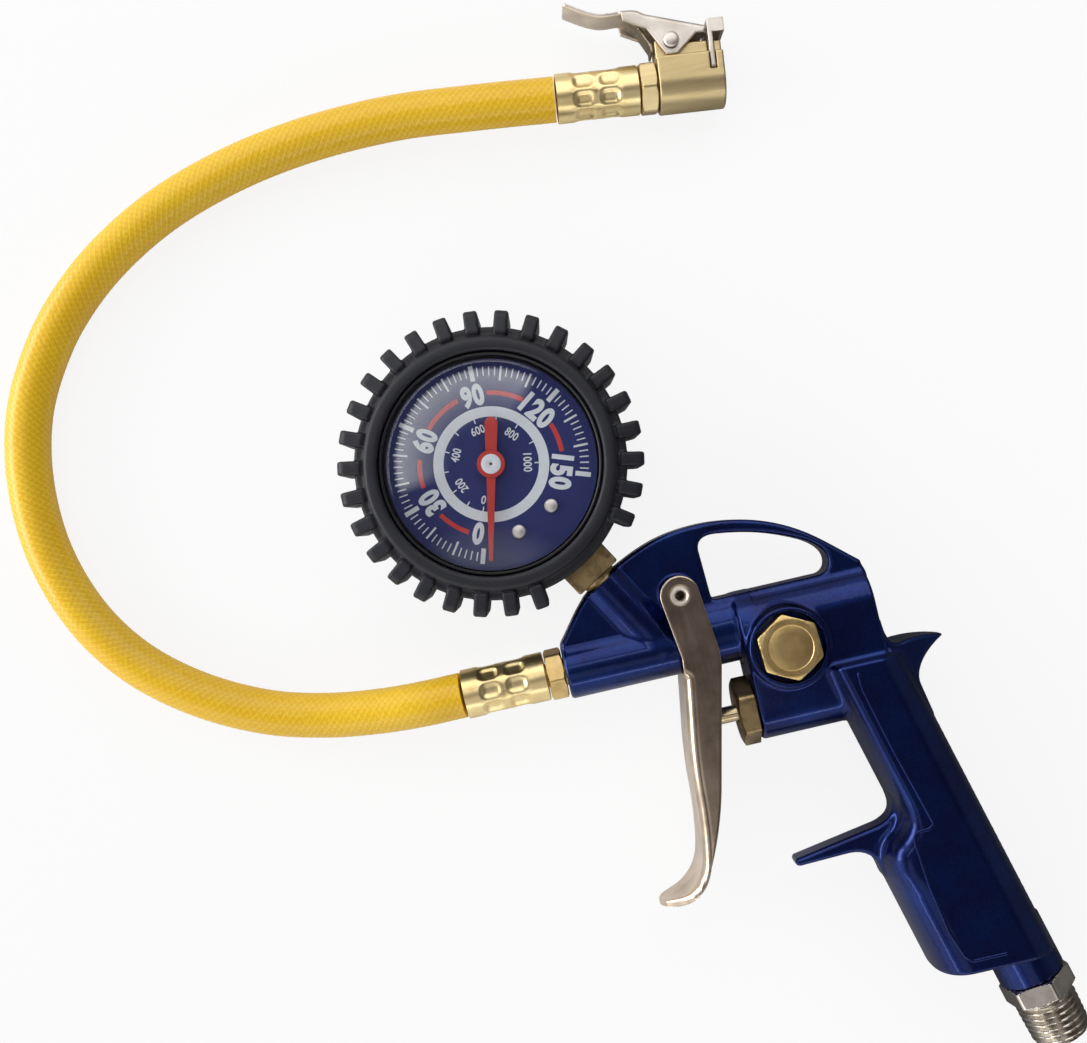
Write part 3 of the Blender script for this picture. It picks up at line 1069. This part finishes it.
# ---------------------------------------------------------------------------------------------------
# Pointer. Stamped from thin aluminium sheet and painted matt red, pressed on a turned hub with a white
# cap, which sits on the movement's shaft.
POINTER_ANGLE = math.radians(-103)
POINTER_Z = DIAL_Z + 0.9
POINTER_LENGTH = 20.6
TAIL_END = 9.6
pointer_out = np.array([math.cos(POINTER_ANGLE), math.sin(POINTER_ANGLE)])
pointer_side = np.array([pointer_out[1], -pointer_out[0]])
pointer_outline = [(1.05, 0), (1.4, -TAIL_END + 1), *arc((0, -TAIL_END + 1), 1.4, 0, -180), (-1.05, 0)]
pointer_outline += [(-0.42, POINTER_LENGTH), (0.42, POINTER_LENGTH)]
pointer_red = painted("matt_red_pointer_paint", "#cf3b30", "#bf3329", 0.45)
flat = np.array([pointer_side * a + pointer_out * b for a, b in pointer_outline]) + GAUGE
count = len(flat)
inward = (flat.mean(0) - flat) / 8  # about a millimetre towards the arm's middle
rows = []
for height, inset in ((0, 0.06), (0.06, 0), (0.5, 0), (0.6, 0.08)):
    rows.append(np.column_stack([flat + inward * inset, np.full(count, POINTER_Z + height)]))
faces = grid_faces(4, count).tolist() + [list(range(count))[::-1], list(range(3 * count, 4 * count))]
make_piece("red_pointer_arm", np.vstack(rows), faces, "pointer", pointer_red,
           ["pointer"])
hub_rings = [(0.75, -0.3), (2.9, -0.3), (3, -0.2), (3, 0.7), (2.85, 0.88), (2.1, 0.9), (0.75, 0.9)]
hub_rings += [(0.75, -0.3)]
hub_at = (*GAUGE, POINTER_Z)
turned_piece("pointer_hub", hub_rings, hub_at, UP, "pointer", pointer_red, (), 96)
cap_rings = [(0.32, 0.9), (2.1, 0.9), (2.1, 0.93), (2.0, 0.97), (0.42, 1.0), (0.32, 0.94), (0.32, 0.9)]
turned_piece("white_hub_cap", cap_rings, hub_at, UP, "pointer", dial_white, (), 64)

# ---------------------------------------------------------------------------------------------------
# Gauge stem. A square block of tarnished brass with a threaded neck, milled from bar. It screws into
# the casting's boss, and its arm holds the gauge's movement and bourdon tube inside the case.
STEM_HALF = 5.55
STEM_THREAD_R = 4.0
STEM_BORE_R = 1.2


def stem_block(x, y, z):
    """Distance from the stem, whose block, neck, holder and arm are stretches along its own line."""
    dx, dy, h = x - GAUGE[0], y - GAUGE[1], z - MID
    along = dx * STEM_DIR[0] + dy * STEM_DIR[1]
    across = dx * STEM_DIR[1] - dy * STEM_DIR[0]
    beside = np.abs(across)
    square = edge(beside - STEM_HALF, np.abs(h) - STEM_HALF, 0.5)
    block = edge(square, slab(along, 26.5, 33.6), 0.5)
    thread = STEM_THREAD_R - 0.1 + 0.1 * np.abs(along % 1 * 2 - 1)
    neck = np.maximum(np.hypot(across, h) - thread, slab(along, 33, 43.5))
    holder = edge(np.maximum(beside - 4.6, slab(z, 5.4, 10.4)), slab(along, 17, 27), 0.3)
    arm = np.maximum(np.maximum(beside - 2.4, slab(z, 9.8, 11.7)), slab(along, 2.6, 18))
    body = np.minimum(np.minimum(block, neck), np.minimum(holder, arm))
    return cut(body, np.maximum(np.hypot(across, h) - STEM_BORE_R, 22 - along))


stem_cell = 0.3
points, quads = cast_surface(stem_block, (-9, 5.4, 4.8), (21.5, 50.5, 17.2), stem_cell)
make_piece("square_gauge_stem", points, quads, "gun", tarnished_brass, ["gauge_stem"], 45)

# ---------------------------------------------------------------------------------------------------
# Chuck body. Dull brass, drilled and milled from one bar: round below, flat on its near and far faces,
# with a narrow tongue that carries the lever and a slot across it for the jaw.
CHUCK_R = 6.0
CHUCK_END = 37.3
CHUCK_LEDGE = 5.2
CHUCK_THREAD_R = 3.4
MOUTH_R = 4.3
MOUTH_X = 29  # how far in the mouth goes
LEVER_PIN = (26.3, 8.6)
LEVER_PIN_R = 1.7
JAW_X = 34.4
JAW_BOTTOM = 1.2
CHUCK_SIDE = np.array([-math.sin(CHUCK_ANGLE), math.cos(CHUCK_ANGLE), 0])
TONGUE = [
    (CHUCK_START, 4), (CHUCK_END, 4), (CHUCK_END, 8), (29.4, 8.4), (27.6, 10.6), (25.4, 10.7),
    (CHUCK_START, 9.2),
]
chuck_cell = 0.22


def at_chuck(points):
    """Places given along, across and above the chuck's own axis, in the drawing frame."""
    points = np.asarray(points, float)
    return CHUCK_AT + points[..., :1] * CHUCK_DIR + points[..., 1:2] * CHUCK_SIDE + points[..., 2:] * UP


def chuck_piece(name, distance, low_corner, high_corner, body, material, replaced, crease=50):
    """A piece of the chuck, from its distance about the chuck's own axis."""
    points, quads = cast_surface(distance, low_corner, high_corner, chuck_cell)
    return make_piece(name, at_chuck(points), quads, body, material, replaced, crease)


def chuck_bar(x, y, z):
    """Distance from the bar and its tongue, with the mouth, thread, pin hole and jaw slot cut out."""
    bar = edge(np.hypot(np.minimum(y, 0), z) - CHUCK_R, y - CHUCK_LEDGE, 0.4)
    bar = edge(bar, slab(x, CHUCK_START, CHUCK_END), 0.4)
    tongue = edge(outline_distance(x, y, TONGUE), np.abs(z) - 3.8, 0.4)
    body = cut(np.minimum(bar, tongue), np.maximum(np.hypot(y, z) - MOUTH_R, MOUTH_X - x))
    body = cut(body, np.hypot(y, z) - CHUCK_THREAD_R + np.maximum(x - MOUTH_X - 0.4, 0) * 4)
    body = cut(body, np.hypot(x - LEVER_PIN[0], y - LEVER_PIN[1]) - LEVER_PIN_R)
    return cut(body, np.maximum(slab(x, JAW_X - GAP, JAW_X + 1 + GAP), JAW_BOTTOM - y))


chuck_piece("milled_chuck_body", chuck_bar, (22.3, -6.5, -6.5), (37.8, 11.2, 6.5), "gun",
            dull_brass, ["chuck_body"])

# ---------------------------------------------------------------------------------------------------
# Chuck lever. Sheet steel, 0.9 mm thick, blanked and folded to two ears round a riveted pin, and nickel
# plated. Its nose lifts the jaw when the thumb presses its tail, against a dark leaf spring.
LEVER_SHEET = 0.9
EAR_HALF = 5.1
lever_top = [(3.3, 20), (8.7, 17.3), (11.7, 16.4), (15.9, 16.5), (19.3, 16.2), (21.2, 15.2)]
lever_curve = [tuple(p) for p in curve_through(lever_top, 5)]
UNDER_LEVER = [(0, 21.6), *lever_curve, (33.9, 11.4), (40, 9.6), (40, -10), (0, -10)]
EAR = [
    (15.9, 17), (21.2, 16), (34.4, 12), (33.6, 9.7), (31.9, 9.7), (27.4, 5.6), (25.1, 5.6), (21.3, 11.7),
    (16.2, 14.1),
]
NOSE = [(30, 12.2), (30, 11.5), (33.4, 10.5), (36, 10.5), (36, 11.2), (33.8, 11.2)]


def lever_sheet(x, y, z):
    """Distance from the folded sheet: its thumb strip, its two ears and the nose in front."""
    q = np.abs(z)
    top = outline_distance(x, y, UNDER_LEVER)
    outer = edge(top, q - EAR_HALF, 1.1)
    inner = edge(top + LEVER_SHEET, q - EAR_HALF + LEVER_SHEET, 0.3)
    strip = np.maximum(np.maximum(-top - LEVER_SHEET - 0.05, 3.5 - x), x - 33.9)
    strip = edge(strip, q - np.interp(x, [3.5, 15.5, 16.5], [4.3, 4.3, 5.2]), 0.9)
    blank = np.minimum(strip, outline_distance(x, y, EAR))
    sheet = edge(np.maximum(outer, -inner), blank, 0.2)
    nose = edge(outline_distance(x, y, NOSE), q - 1.6, 0.2)
    return cut(np.minimum(sheet, nose), np.hypot(x - LEVER_PIN[0], y - LEVER_PIN[1]) - LEVER_PIN_R)


chuck_piece("folded_chuck_lever", lever_sheet, (2.8, 5.1, -5.5), (36.5, 20.8, 5.5), "lever",
            satin_nickel, ["chuck_lever"], 45)
PIN_HEAD = 5.4
pin_rings = [(0, -6.2), (0.8, -6.18), (1.4, -6.02), (1.7, -5.7), (1.7, -PIN_HEAD), (1.4, -PIN_HEAD)]
pin_rings += [(1.4, PIN_HEAD), (1.7, PIN_HEAD), (1.7, 5.8), (1.45, 6.1), (1.0, 6.26), (0, 6.3)]
turned_piece("riveted_lever_pin", pin_rings, at_chuck((*LEVER_PIN, 0)), UP, "gun",
             satin_nickel, ["lever_pin"], 64)

LEAF = [
    (22.3, 7), (22.3, 8.6), (19.8, 13.2), (17.4, 15), (17.1, 14.6), (19.4, 12.8), (21.8, 8.4),
    (21.8, 7),
]


def leaf(x, y, z):
    """Distance from the leaf spring, a strip bent once from its foot to the lever's underside."""
    return edge(outline_distance(x, y, LEAF), np.abs(z) - 3.2, 0.15)


leaf_piece = chuck_piece("bent_leaf_spring", leaf, (16.7, 6.6, -3.6), (22.8, 15.4, 3.6), "gun",
                         spring_steel, ["lever_spring"])
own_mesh(leaf_piece)

# ---------------------------------------------------------------------------------------------------
# Chuck jaw. A stamped steel plate in the body's slot, folded over at its top to a short hood. Its
# hollowed lower edge bites the thread of the tyre's valve, and the lever's nose goes into its window.
JAW_TOP = 12.4
JAW_HALF = 5.6
JAW_SHEET = 0.8
JAW_BITE_R = 3.94
HOOD_BOTTOM = 9.4
HOOD_END = JAW_X + 3.7


def jaw_plate(x, y, z):
    """Distance from the jaw: an upright blade with a window, and a hood of thin walls in front."""
    q = np.abs(z)
    blade = cut(edge(q - JAW_HALF, slab(y, 1.6, JAW_TOP), 0.5), np.hypot(y, z) - JAW_BITE_R)
    window = np.maximum(slab(y, 9.9, 11.8), q - 2.1)
    blade = edge(cut(blade, window), slab(x, JAW_X, JAW_X + 1), 0.15)
    top = np.maximum(slab(x, JAW_X, HOOD_END), slab(y, JAW_TOP - JAW_SHEET, JAW_TOP))
    lip = np.maximum(slab(x, HOOD_END - JAW_SHEET, HOOD_END), slab(y, HOOD_BOTTOM, JAW_TOP))
    wall = np.maximum(slab(x, JAW_X, HOOD_END), slab(y, HOOD_BOTTOM, JAW_TOP))
    cheek = np.maximum(wall, slab(q, JAW_HALF - JAW_SHEET, JAW_HALF))
    folded = np.minimum(np.maximum(np.minimum(top, lip), q - JAW_HALF), cheek)
    over = -edge(HOOD_END - x, JAW_TOP - y, 0.6)
    return np.minimum(blade, np.maximum(folded, np.minimum(over, 0.4)))


chuck_piece("stamped_chuck_jaw", jaw_plate, (34, 1.2, -6), (38.6, 12.8, 6), "jaw",
            satin_nickel, ["chuck_jaw"])

# ---------------------------------------------------------------------------------------------------
# Chuck's inner pieces. A moulded rubber washer seals on the tyre valve's rim, and a turned brass pin
# with a wide foot pushes the valve open.
seal_rubber = rubber("seal_rubber", "#1a1a1c", "#29292c", 0.5)
washer_rings = [(1.6, 0), (1.7, 2.1), (1.9, 2.2), (3.8, 2.2), (4, 2), (4, 0), (1.6, 0)]
turned_piece("chuck_mouth_washer", washer_rings, at_chuck((29.3, 0, 0)), CHUCK_DIR, "gun",
             seal_rubber, ["chuck_seal"], 96)
opener_rings = [(0, 0), (2.4, 0), (2.4, 0.7), (2.3, 0.8), (0.8, 0.85), (0.8, 5.3), (0.5, 5.6), (0, 5.6)]
turned_piece("valve_opening_pin", opener_rings, at_chuck((27.2, 0, 0)), CHUCK_DIR, "gun",
             machined_brass, ["valve_depressor"], 64)

# ---------------------------------------------------------------------------------------------------
# Inner pieces that keep the frame's own shapes: rubber rings, the poppet with its washer, the gauge's
# steel case, and the brass movement with its tube and link. Each gets the finish of what it is made of.
finishes = {
    machined_brass: ["valve_poppet", "pinion_shaft", "sector_gear", "movement_back_plate",
                     "movement_front_plate", "bourdon_tube"],
    seal_rubber: ["plug_seal", "stem_seal", "poppet_seal"],
    black_lacquer: ["gauge_case"],
    spring_steel: ["gauge_link"],
}
for material, names in finishes.items():
    for name in names:
        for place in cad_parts[name].material_slots:
            place.material = material

# ---------------------------------------------------------------------------------------------------
# Floor and light. A pale table that shows as white, with the object's own soft shadow on it. Light comes
# from a wide box towards the picture's top, a strip towards its bottom, a low box towards its left, and
# a room that is bright low down and dark overhead.
WHITE_SHARE = 0.87  # the rest is the table's own colour, which carries the shadow


def pale_table():
    """White laminate. Camera and transmission rays see it as white with the object's shadow. Glossy
    rays see its own colour instead, which is darkened towards the right."""
    material, tree, shader, place = new_material("white_laminate_table")
    cloud = node(tree, "TexNoise", Vector=place, Scale=40.0, Detail=2.0).outputs["Fac"]
    gloss = node(tree, "MapRange", Value=cloud, To_Min=0.65, To_Max=0.75).outputs[0]
    ray = node(tree, "LightPath").outputs
    across = node(tree, "SeparateXYZ", Vector=place).outputs["X"]
    right = node(tree, "MapRange", Value=across, From_Min=0.0, From_Max=0.045).outputs[0]
    dark = node(tree, "Math", {"operation": "MULTIPLY"}, i0=ray["Is Glossy Ray"], i1=right).outputs[0]
    tone = node(tree, "Mix", {"data_type": "RGBA"}, i0=dark, i6=linear("#f8f8f8"), i7=linear("#626262"))
    join(tree, shader, Base_Color=tone.outputs[2], Roughness=gloss)
    kinds = {"i0": ray["Is Camera Ray"], "i1": ray["Is Transmission Ray"]}
    seen = node(tree, "Math", {"operation": "MAXIMUM"}, **kinds)
    share = node(tree, "Math", {"operation": "MULTIPLY"}, i0=seen.outputs[0], i1=WHITE_SHARE)
    white_light = node(tree, "Emission", Color=(1, 1, 1, 1), Strength=1.0)
    mix = node(tree, "MixShader", Fac=share.outputs[0], i1=shader.outputs[0], i2=white_light.outputs[0])
    join(tree, tree.nodes["Material Output"], Surface=mix.outputs[0])
    return material


floor_mesh = bpy.data.meshes.new("table_top")
reach = 3.0
floor_mesh.from_pydata([(-reach, -reach, 0), (reach, -reach, 0), (reach, reach, 0), (-reach, reach, 0)],
                       [], [(0, 1, 2, 3)])
floor_mesh.materials.append(pale_table())
floor = bpy.data.objects.new("table_top", floor_mesh)
floor.location.z = -0.0002
bpy.context.scene.collection.objects.link(floor)


LAMP_DISTANCE = 0.9


def soft_box(name, size, power, azimuth, elevation):
    """An area lamp that looks at the object. Azimuth is the way to it, from the picture's right."""
    lamp_data = bpy.data.lights.new(name, "AREA")
    lamp_data.shape = "RECTANGLE"
    lamp_data.size, lamp_data.size_y = size
    lamp_data.energy = power
    lamp = bpy.data.objects.new(name, lamp_data)
    turn = math.radians(azimuth) - PICTURE_TURN
    rise = math.radians(elevation)
    way = Vector((math.cos(turn) * math.cos(rise), math.sin(turn) * math.cos(rise), math.sin(rise)))
    centre = Vector(metres((*CAMERA_AT, 0)))
    lamp.location = centre + way * LAMP_DISTANCE
    lamp.rotation_euler = way.to_track_quat("Z", "Y").to_euler()
    bpy.context.scene.collection.objects.link(lamp)


soft_box("box_towards_top", (1.2, 0.72), 3.4, 90, 45)
soft_box("strip_towards_bottom", (1.2, 0.08), 1.1, -90, 34)
soft_box("low_box_towards_left", (0.9, 0.35), 4.5, 175, 17)


def sky_way(azimuth, tilt):
    """A direction given by its tilt from straight up and its azimuth from the picture's right."""
    turn, tilt = math.radians(azimuth) - PICTURE_TURN, math.radians(tilt)
    return math.cos(turn) * math.sin(tilt), math.sin(turn) * math.sin(tilt), math.cos(tilt)


world = bpy.data.worlds.new("white_room")
world.use_nodes = True
bpy.context.scene.world = world
sky = world.node_tree
way = node(sky, "TexCoord").outputs["Generated"]
parts = node(sky, "SeparateXYZ", Vector=way).outputs
fade = node(sky, "ValToRGB", Fac=parts["Z"])
fade.color_ramp.elements[0].color = (0.6, 0.6, 0.6, 1)
fade.color_ramp.elements[1].color = (0.068, 0.057, 0.062, 1)
fade.color_ramp.elements.new(0.35).color = (0.55, 0.55, 0.56, 1)
fade.color_ramp.elements.new(0.6).color = (0.3, 0.3, 0.31, 1)
fade.color_ramp.elements.new(0.84).color = (0.078, 0.068, 0.073, 1)
side = node(sky, "MapRange", Value=parts["X"], From_Min=-1.0, From_Max=1.0, To_Min=2.2, To_Max=0.3)


def lit_where(way_of, from_cosine, to_cosine, bright=1.0):
    """How much of a lamp shows, between two cosines of the angle to a direction."""
    cosine = node(sky, "VectorMath", {"operation": "DOT_PRODUCT"}, i0=way, i1=way_of).outputs["Value"]
    limits = {"From_Min": from_cosine, "From_Max": to_cosine, "To_Max": bright}
    return node(sky, "MapRange", Value=cosine, **limits).outputs[0]


# a lamp behind paper, almost overhead, which the lens mirrors as a grey sector in the picture's view
lens_way = (-0.038, 0.043)  # what the lens's middle shows, along the picture's right and up
glare = lit_where(sky_way(132, 3.3), 0.992, 0.963, 3.0)
edges = [lit_where(sky_way(132, 3.3), math.cos(math.radians(17.6)), math.cos(math.radians(16.9)))]
for azimuth in (153, 108):
    turn = math.radians(azimuth)
    at_hub = lens_way[0] * math.cos(turn) + lens_way[1] * math.sin(turn)
    edges.append(lit_where(sky_way(azimuth, 90), at_hub - 0.01, at_hub + 0.03))
for part in edges:
    glare = node(sky, "Math", {"operation": "MULTIPLY"}, i0=glare, i1=part).outputs[0]
# a second, weaker lamp patch towards the picture's bottom
foot = lit_where(sky_way(-95, 25), math.cos(math.radians(17)), math.cos(math.radians(11)), 0.55)
room = node(sky, "Background", Color=fade.outputs["Color"], Strength=side.outputs[0])
lamps = node(sky, "Math", {"operation": "ADD"}, i0=glare, i1=foot)
paper = node(sky, "Background", Color=(1, 1, 1, 1), Strength=lamps.outputs[0])
both = node(sky, "AddShader", i0=room.outputs[0], i1=paper.outputs[0])
wall = node(sky, "Background", Color=(1, 1, 1, 1), Strength=1.0)
# the camera sees the room's wall as white, and no other ray does
direct = node(sky, "LightPath").outputs["Is Camera Ray"]
shown = node(sky, "MixShader", Fac=direct, i1=both.outputs[0], i2=wall.outputs[0])
join(sky, sky.nodes["World Output"], Surface=shown.outputs[0])
bpy.context.scene.view_settings.view_transform = "Standard"
